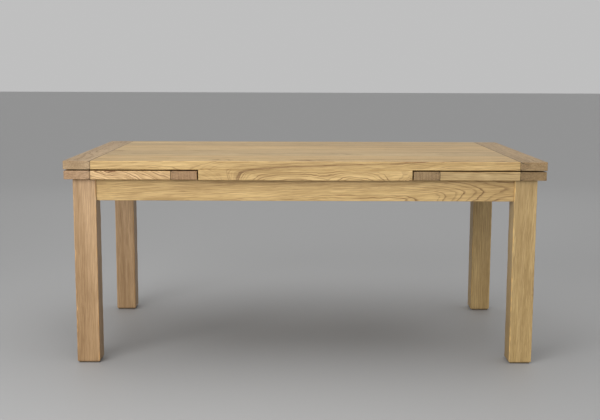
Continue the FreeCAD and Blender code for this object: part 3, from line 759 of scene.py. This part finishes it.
# %% [markdown]
# ## Turned pegs, steel fastenings and felt
# The pegs and dowels are beech, a pale wood with no lines to speak of, only short brown flecks. The
# bolts, nuts and screws are mild steel with a thin coat of zinc, which is a bluish grey metal with
# cloudy patches a few millimetres wide. The felt under the feet and under the top is pressed wool: no
# gloss at all, with a sheen from the fibres that stand up. Each of these shapes is already right in the
# frame, so only its arrises are broken, as a die or a lathe leaves them.

# %% Beech, zinc and felt
def beech(name):
    """Turned beech: pale, with short flecks 8 mm long and 1 mm wide."""
    material, tree, shader = new_material(name)
    spot = put(tree, "ShaderNodeTexCoord", output=3)
    flecks = along_grain(tree, spot, (900.0, 900.0, 120.0), 0.55, 0.7)
    cloud = along_grain(tree, spot, (30.0, 30.0, 8.0), 0.3, 0.7)
    base = put(tree, "ShaderNodeMix", {"data_type": "RGBA"},
               {"Factor": cloud, "A": linear("#d9b48a"), "B": linear("#c79f74")}, 2)
    tree.links.new(times(tree, base, flecks, "#a8805a"), shader.inputs["Base Color"])
    shader.inputs["Roughness"].default_value = 0.55
    return material


def zinc(name):
    """Zinc-plated steel: a bluish metal whose passivated coat clouds its colour and its gloss."""
    material, tree, shader = new_material(name)
    spot = put(tree, "ShaderNodeTexCoord", output=3)
    cloud = along_grain(tree, spot, (240.0, 240.0, 240.0), 0.3, 0.7)
    coat = put(tree, "ShaderNodeMix", {"data_type": "RGBA"},
               {"Factor": cloud, "A": linear("#c4c8cc"), "B": linear("#a9a89c")}, 2)
    tree.links.new(coat, shader.inputs["Base Color"])
    gloss = put(tree, "ShaderNodeMapRange", {}, {"Value": cloud, "To Min": 0.28, "To Max": 0.45})
    tree.links.new(gloss, shader.inputs["Roughness"])
    shader.inputs["Metallic"].default_value = 1.0
    return material


def felt(name):
    """Pressed wool felt: its fibres are 0.02 mm thick, and drawn 0.5 to 1.4 mm wide so that they
    show."""
    material, tree, shader = new_material(name)
    spot = put(tree, "ShaderNodeTexCoord", output=3)
    fibres = along_grain(tree, spot, (2000.0, 700.0, 1200.0), 0.35, 0.65)
    wool = put(tree, "ShaderNodeMix", {"data_type": "RGBA"},
               {"Factor": fibres, "A": linear("#4f463c"), "B": linear("#75695a")}, 2)
    tree.links.new(wool, shader.inputs["Base Color"])
    relief = put(tree, "ShaderNodeBump", {}, {"Strength": 0.6, "Distance": 0.3 * MM, "Height": fibres})
    tree.links.new(relief, shader.inputs["Normal"])
    shader.inputs["Roughness"].default_value = 0.95
    shader.inputs["Sheen Weight"].default_value = 0.4
    return material


BEECH, ZINC, FELT = beech("beech_turned"), zinc("steel_zinc_plated"), felt("felt_pressed_wool")
print("finishes:", BEECH.name, ZINC.name, FELT.name)

# %% Fastenings, pegs and pads
SMOOTH_UP_TO = np.radians(35)


def fastening(node, body, material, slot, width):
    """A small round or pressed piece from its CAD node, smooth round its turned faces."""
    mesh = merged_copy(node, f"fit_{node}")
    mesh.shade_smooth()
    mesh.set_sharp_from_angle(angle=SMOOTH_UP_TO)
    bevelled(mesh, material, body, node, slot, width)


STEEL_NODES = {"leg_bolts": "frame", "leg_washers": "frame", "leg_nuts": "frame",
               "brace_screws": "frame", "centre_board_screws": "frame",
               "peg_keepers": "main_top", "peg_screws": "main_top",
               "left_bearer_screws": "left_leaf", "right_bearer_screws": "right_leaf"}
for node, body in STEEL_NODES.items():
    fastening(node, body, ZINC, "zinc_steel", 0.35)
for node, body, width in (("guide_pegs", "main_top", 0.6), ("apron_dowels", "frame", 0.8)):
    fastening(node, body, BEECH, "plain_hardwood", width)
for node, body in (("foot_pads", "frame"), ("top_felts", "main_top")):
    fastening(node, body, FELT, "pad_felt", 0.8)

# %% [markdown]
# ## Camera
# A view from just above the table top, as a seated person sees it from across a room. A long lens from
# over four metres keeps the legs upright and the long edges almost parallel. The turns are applied in
# the order of a tripod head: first the pan about the upright axis, then the tilt, then a small roll.

# %% Camera
camera_data = bpy.data.cameras.new("camera")
camera = bpy.data.objects.new("camera", camera_data)
bpy.context.scene.collection.objects.link(camera)
bpy.context.scene.camera = camera
LENS = 60.36
camera_data.lens = LENS
camera_data.dof.use_dof = False
CAMERA_PLACE = (-0.031, -4.217, 1.129)
LOOK_DOWN, LOOK_RIGHT, LEAN = 0.1417, 0.0031, 0.0035
camera.matrix_world = (Matrix.Translation(CAMERA_PLACE) @ Matrix.Rotation(-LOOK_RIGHT, 4, "Z")
                       @ Matrix.Rotation(np.pi / 2 - LOOK_DOWN, 4, "X") @ Matrix.Rotation(LEAN, 4, "Z"))
print("camera at", CAMERA_PLACE, "with a lens of", LENS, "mm")

# %% [markdown]
# ## Floor and light
# A plain pale floor and plain soft light. A large panel at the left is the key, a wider one in front
# fills, and a weak one behind lights the back. A soft light from above gives the top its tone and the
# shadow under the table. The world is pale up to a little above the horizon, as a wall behind the table
# would be. From there it fades, and higher up it is nearly dark, so that the panels shape the light.

# %% Floor and light
FLOOR_SIZE = 40.0
floor_mesh = bpy.data.meshes.new("floor")
floor_mesh.from_pydata([(-FLOOR_SIZE, -FLOOR_SIZE, 0), (FLOOR_SIZE, -FLOOR_SIZE, 0),
                        (FLOOR_SIZE, FLOOR_SIZE, 0), (-FLOOR_SIZE, FLOOR_SIZE, 0)], [], [(0, 1, 2, 3)])
floor = bpy.data.objects.new("floor", floor_mesh)
bpy.context.scene.collection.objects.link(floor)
floor_material, _, floor_shader = new_material("studio_floor")
floor_shader.inputs["Base Color"].default_value = linear("#9c9c9c")
floor_shader.inputs["Roughness"].default_value = 0.6
floor_mesh.materials.append(floor_material)

# how bright the world is low down and high up, and the heights of a direction between which it fades
WALL_GLOW, ROOM_GLOW = 0.6, 0.08
WALL_TOP, ROOM_FROM = 0.08, 0.3
world = bpy.data.worlds.new("studio")
world.use_nodes = True
sky = world.node_tree
height = put(sky, "ShaderNodeSeparateXYZ", {}, {0: put(sky, "ShaderNodeTexCoord")}, 2)
fade = put(sky, "ShaderNodeMapRange", {"interpolation_type": "SMOOTHSTEP"},
           {"Value": height, "From Min": WALL_TOP, "From Max": ROOM_FROM, "To Min": WALL_GLOW,
            "To Max": ROOM_GLOW})
sky.nodes["Background"].inputs["Color"].default_value = linear("#f0f0f0")
sky.links.new(fade, sky.nodes["Background"].inputs["Strength"])
bpy.context.scene.world = world
bpy.context.scene.view_settings.view_transform = "Standard"


def softbox(name, spot, aim, size, power):
    """A soft panel light that faces a point."""
    data = bpy.data.lights.new(name, "AREA")
    data.shape = "RECTANGLE"
    data.size, data.size_y = size
    data.energy = power
    lamp = bpy.data.objects.new(name, data)
    bpy.context.scene.collection.objects.link(lamp)
    lamp.location = spot
    lamp.rotation_euler = (Vector(aim) - Vector(spot)).to_track_quat("-Z", "Y").to_euler()
    lamp.visible_camera = False


softbox("key_light", (-2.2, -3.4, 2.3), (-0.2, -0.4, 0.75), (2.4, 1.6), 89)
softbox("front_light", (0.2, -5.5, 1.9), (0, 0, 0.6), (4.0, 1.5), 88)
softbox("rear_light", (0.0, 5.0, 2.0), (0, 0, 0.7), (5.0, 1.6), 13)
OVERHEAD_POWER, OVERHEAD_SPREAD = 2.3, 1.6
overhead = bpy.data.lights.new("overhead", "SUN")
overhead.energy = OVERHEAD_POWER
overhead.angle = OVERHEAD_SPREAD
bpy.context.scene.collection.objects.link(bpy.data.objects.new("overhead", overhead))
print("lights:", [lamp.name for lamp in bpy.data.lights])
